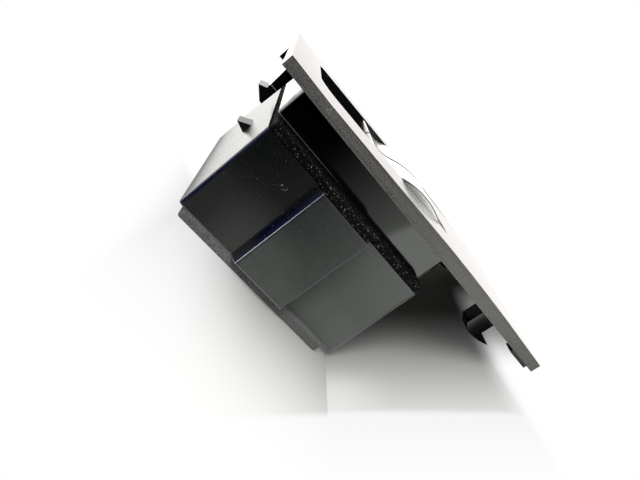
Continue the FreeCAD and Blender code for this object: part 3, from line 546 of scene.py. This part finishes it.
def contact_mat():
    """The rubber mat: a sheet, and four domes cut from its form, one under each plunger."""
    foot = board_top + MAT_SHEET
    sheet = moulding("rubber_mat", "contact_sheet", "silicone", "switch")
    cut(sheet, (0.0, 0.0, foot), (0.0, 0.0, 1.0))
    middle = (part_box("plunger_near_front")[0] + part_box("plunger_far_rear")[1]) / 2
    for name in ("near_front", "near_rear", "far_front", "far_rear"):
        low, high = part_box("plunger_" + name)
        spot = ((low.x + high.x) / 2, (low.y + high.y) / 2, foot)
        dome = moulding("rubber_mat", "contact_dome_" + name, "silicone", "switch")
        cut(dome, spot, (0.0, 0.0, -1.0))
        cut(dome, middle, (math.copysign(1.0, middle.x - spot[0]), 0.0, 0.0))
        cut(dome, middle, (0.0, math.copysign(1.0, middle.y - spot[1]), 0.0))
        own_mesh(dome)


slots = {part["node"]: part["material_slot"] for part in frame["record"]["subparts"]}
for node, obj in frame["nodes"].items():
    dress(obj, slots[node])

moulding("bezel", "faceplate_moulding", "faceplate_plastic", "switch", edge=0.18 * MM)
moulding("switch_housing", "block_moulding", "housing_plastic", "switch", edge=0.16 * MM)
moulding("bottom_cover", "lid_moulding", "cover_plastic", "switch", edge=0.2 * MM)
moulding("knob_near", "knob_near_moulding", "knob_plastic", "knob_near")
moulding("knob_far", "knob_far_moulding", "knob_plastic", "knob_far")
contact_mat()
foam_strip()


# The stage: white paper, cards that reflections meet, lamps and camera.
# The real part lies on its end, so the table is met again as a slope, from the lid's end up to the
# faceplate's end. The paper reaches so far on every side.
PAPER_REACH = 4.0
PAPER_TOP = -0.05 * MM
SLOPE_FOOT = 16.3 * MM
SLOPE_RUN = 39.0 * MM
SLOPE_RISE = 44.9 * MM
SLOPE = math.atan2(SLOPE_RISE, SLOPE_RUN)


def stage_card(name, low, high, angle=0.0):
    """A plane from its low to its high corner, tilted about its low edge in X."""
    bpy.ops.object.select_all(action="DESELECT")
    middle = ((low[0] + high[0]) / 2, (low[1] + high[1]) / 2, low[2])
    bpy.ops.mesh.primitive_plane_add(size=1.0, location=middle)
    piece = bpy.context.active_object
    piece.name = name
    piece.scale = (high[0] - low[0], high[1] - low[1], 1.0)
    bpy.ops.object.transform_apply(location=True, rotation=True, scale=True)
    turn = Matrix.Translation((low[0], 0, low[2])) @ Matrix.Rotation(-angle, 4, "Y")
    piece.data.transform(turn @ Matrix.Translation((-low[0], 0, -low[2])))
    return piece


def flat_masks(finish):
    """Where the flat paper has run out to white, and where it lies clear of its painted shadow."""
    brink = finish.y + 52.0 * MM + 0.88 * (SLOPE_FOOT - finish.x)
    white = finish.step(finish.x, -10.0 * MM, -42.0 * MM).most(
        finish.step(finish.y, 20.0 * MM, 45.0 * MM), finish.step(brink, 0.5 * MM, -3.0 * MM)
    )
    side_clear_of_painted_shadow = finish.step(finish.x, -38.0 * MM, -54.0 * MM)
    return white, side_clear_of_painted_shadow.most(finish.step(finish.y, -20.0 * MM, 0.0))


def slope_masks(finish):
    """Where the sloping paper has run out to white, and where it lies clear of its painted shadow."""
    brink = finish.y + 50.5 * MM
    behind = finish.step(finish.y, 32.0 * MM, 38.0 * MM)
    past_end = finish.step(finish.x, 53.5 * MM, 57.5 * MM)
    along = 0.25 * finish.step(finish.y, 20.0 * MM, -5.0 * MM)
    along = along + 0.75 * finish.step(finish.y, -12.0 * MM, -34.0 * MM)
    beside_end = finish.step(finish.x, 46.0 * MM, 51.5 * MM) * along
    fold = finish.step(finish.x, 30.0 * MM, SLOPE_FOOT) * finish.step(finish.y, -32.0 * MM, -46.0 * MM)
    paper_clear_of_painted_shadow = past_end.most(behind, beside_end)
    white = paper_clear_of_painted_shadow.most(0.6 * fold, finish.step(brink, 0.5 * MM, -3.0 * MM))
    return white, paper_clear_of_painted_shadow


def under_lid(finish):
    """A mask of the floor under the lid, a little inside its outline."""
    middle = (lid_low + lid_high) / 2
    reach = (lid_high - lid_low) / 2
    margin = 1.5 * MM
    return finish.x.near(middle.x, reach.x - margin) * finish.y.near(middle.y, reach.y - margin)


def paper(piece, masks, window=None):
    """White paper: near the part it has a painted shadow, a darker warm colour and less glow, and further off
    it glows white.

    It can't be seen from below, nor where its window is.
    """
    finish = Finish(piece.name + "_card", Specular_IOR_Level=0.0, Roughness=0.9)
    finish.shader.inputs["Emission Strength"].default_value = 1.0
    reach = (finish.x * finish.x + finish.y * finish.y + finish.z * finish.z) ** 0.5
    white, side_clear_of_painted_shadow = masks(finish)
    far = finish.step(reach, 110.0 * MM, 210.0 * MM).most(white)
    paper_clear_of_painted_shadow = finish.step(finish.y, 5.0 * MM, -85.0 * MM).most(side_clear_of_painted_shadow)
    glow = (0.3 * paper_clear_of_painted_shadow + 0.7 * far).most(0.006)
    glow = finish.seen() * (1.0 - 0.45 * finish.ray("Glossy")) * glow
    # Painted shadow: dark warm paper near the part, pale paper clear of it
    shade = finish.blend(paper_clear_of_painted_shadow, grey(0.1, (1.0, 0.97, 0.8)), grey(0.8, (1.0, 0.995, 0.97)))
    finish.set(
        Base_Color=finish.blend(far, shade, grey(0.0)),
        Emission_Color=finish.blend(glow, grey(0.0), grey(1.0)),
    )
    unseen = finish.node("ShaderNodeNewGeometry", {}, {}, "Backfacing")
    if window:
        unseen = unseen.most(window(finish))
    finish.clear_where(unseen)
    piece.data.materials.append(finish.material)


def floor():
    """The paper under the part and the paper that slopes up beside it. Reflections meet the first only."""
    near, far = -PAPER_REACH, PAPER_REACH
    flat = stage_card("floor", (near, near, PAPER_TOP), (SLOPE_FOOT, far, PAPER_TOP))
    slope = stage_card("floor_ramp", (SLOPE_FOOT, near, PAPER_TOP), (far, far, PAPER_TOP), SLOPE)
    paper(flat, flat_masks, under_lid)
    paper(slope, slope_masks)
    slope.visible_glossy = False


def world():
    """A white surround, at half strength where it lights the part."""
    setting = bpy.data.worlds.new("studio")
    scene.world = setting
    setting.use_nodes = True
    nodes, links = setting.node_tree.nodes, setting.node_tree.links
    rays = nodes.new("ShaderNodeLightPath")
    seen = rays.outputs["Is Camera Ray"]
    for ray in ("Is Glossy Ray", "Is Transmission Ray"):
        join = nodes.new("ShaderNodeMath")
        join.operation = "MAXIMUM"
        links.new(seen, join.inputs[0])
        links.new(rays.outputs[ray], join.inputs[1])
        seen = join.outputs[0]
    strength = nodes.new("ShaderNodeMapRange")
    strength.inputs["To Min"].default_value = 0.5
    strength.inputs["To Max"].default_value = 1.0
    links.new(seen, strength.inputs["Value"])
    sky = nodes["Background"]
    sky.inputs["Color"].default_value = grey(1.0)
    links.new(strength.outputs["Result"], sky.inputs["Strength"])


def lamp(name, place, size, watts):
    """A round lamp that points at the block's middle."""
    data = bpy.data.lights.new(name, "AREA")
    data.shape = "DISK"
    data.size = size
    data.energy = watts
    obj = bpy.data.objects.new(name, data)
    scene.collection.objects.link(obj)
    obj.location = place
    target = Vector((0.0, 0.0, 20.0 * MM))
    obj.rotation_euler = (target - Vector(place)).to_track_quat("-Z", "Y").to_euler()


def mirror_card(name, low, high, turn, glow):
    """A studio card that only reflections meet, of one colour or with a pattern worked out from its place."""
    piece = stage_card(name, (low[0], low[1], 0.0), (high[0], high[1], 0.0))
    piece.data.transform(turn)
    finish = Finish(name, Specular_IOR_Level=0.0, Base_Color=grey(0.0))
    finish.shader.inputs["Emission Strength"].default_value = 1.0
    finish.set(Emission_Color=glow(finish) if callable(glow) else glow)
    piece.data.materials.append(finish.material)
    for ray in ("camera", "diffuse", "shadow", "transmission", "volume_scatter"):
        setattr(piece, "visible_" + ray, False)


def near_glow(finish):
    """Dark before the first facet, bright past a slanting edge, brighter for the knobs, dark for the hook."""
    edge = finish.x - 0.267 * (finish.z - 24.4 * MM)
    dim = finish.step(finish.x, -20.0 * MM, 75.0 * MM) * 0.85
    bright = finish.step(edge, 26.8 * MM, 28.4 * MM)
    off_hook = finish.step(finish.x, 82.5 * MM, 78.5 * MM).most(finish.step(finish.z, 38.5 * MM, 39.5 * MM))
    knobs = finish.step(finish.x, 10.0 * MM, 25.0 * MM) * finish.step(finish.x, 70.0 * MM, 55.0 * MM)
    knobs = knobs * finish.step(finish.z, 44.8 * MM, 45.8 * MM)
    level = finish.blend(knobs, grey(3.1, (0.98, 1.04, 0.97)), grey(10.0, (1.0, 0.99, 0.95)))
    return finish.blend(bright.most(dim) * off_hook, grey(0.0), level)


def back_glow(finish):
    """Warm white, brighter above."""
    above = finish.step(finish.z, 120.0 * MM, 240.0 * MM)
    return finish.blend(above, grey(1.45, (1.0, 0.96, 0.945)), grey(3.4, (1.0, 0.97, 0.95)))


def cards():
    """Boards before and behind the part, papers beside its foot, and a dark card on the slope that stands in
    reflections for the shade under the faceplate's end.
    """
    upright = Matrix.Rotation(math.radians(90.0), 4, "X")
    before = Matrix.Translation((0.0, -90.0 * MM, 0.0)) @ upright
    behind = Matrix.Translation((0.0, 500.0 * MM, 0.0)) @ upright
    on_floor = Matrix.Translation((0.0, 0.0, 0.5 * MM))
    on_slope = Matrix.Translation((17.0 * MM, 0.0, 0.3 * MM)) @ Matrix.Rotation(-SLOPE, 4, "Y")
    white = grey(2.4, (1.0, 0.99, 0.96))
    blue = grey(0.2, (0.12, 0.16, 1.0))
    mirror_card("near_board", (-0.5, 0.0), (0.5, 0.25), before, near_glow)
    mirror_card("back_board", (-1.0, -0.2), (1.0, 0.3), behind, back_glow)
    mirror_card("left_paper", (-0.5, -0.03), (-0.05, 0.5), on_floor, white)
    # Painted shade: a dark card where the slope lies in shadow, seen only in reflections
    mirror_card("wedge_shade", (0.0, -0.018), (0.055, 0.04), on_slope, grey(0.01))
    mirror_card("blue_paper", (-0.2, -0.075), (-0.05, -0.03), on_floor, blue)


def camera():
    """The photograph's viewpoint: rolled against the part's own upright, and looking slightly down."""
    data = bpy.data.cameras.new("camera")
    data.lens = 30.39
    data.sensor_width = 36.0
    data.clip_start = 10.0 * MM
    obj = bpy.data.objects.new("camera", data)
    scene.collection.objects.link(obj)
    place = Vector((-61.6, -160.7, 59.3)) * MM
    right = Vector((0.6321, -0.0121, 0.7748)).normalized()
    back = Vector((-0.3281, -0.9100, 0.2534)).normalized()
    up = back.cross(right).normalized()
    turn = Matrix((right, up, back)).transposed().to_4x4()
    obj.matrix_world = Matrix.Translation(place) @ turn
    scene.camera = obj


floor()
world()
cards()
lamp("key", place=(-0.35, -0.3, 0.5), size=0.35, watts=2.6)
lamp("fill", place=(0.5, -0.2, 0.35), size=0.5, watts=1.0)
camera()
scene.view_settings.view_transform = "Standard"
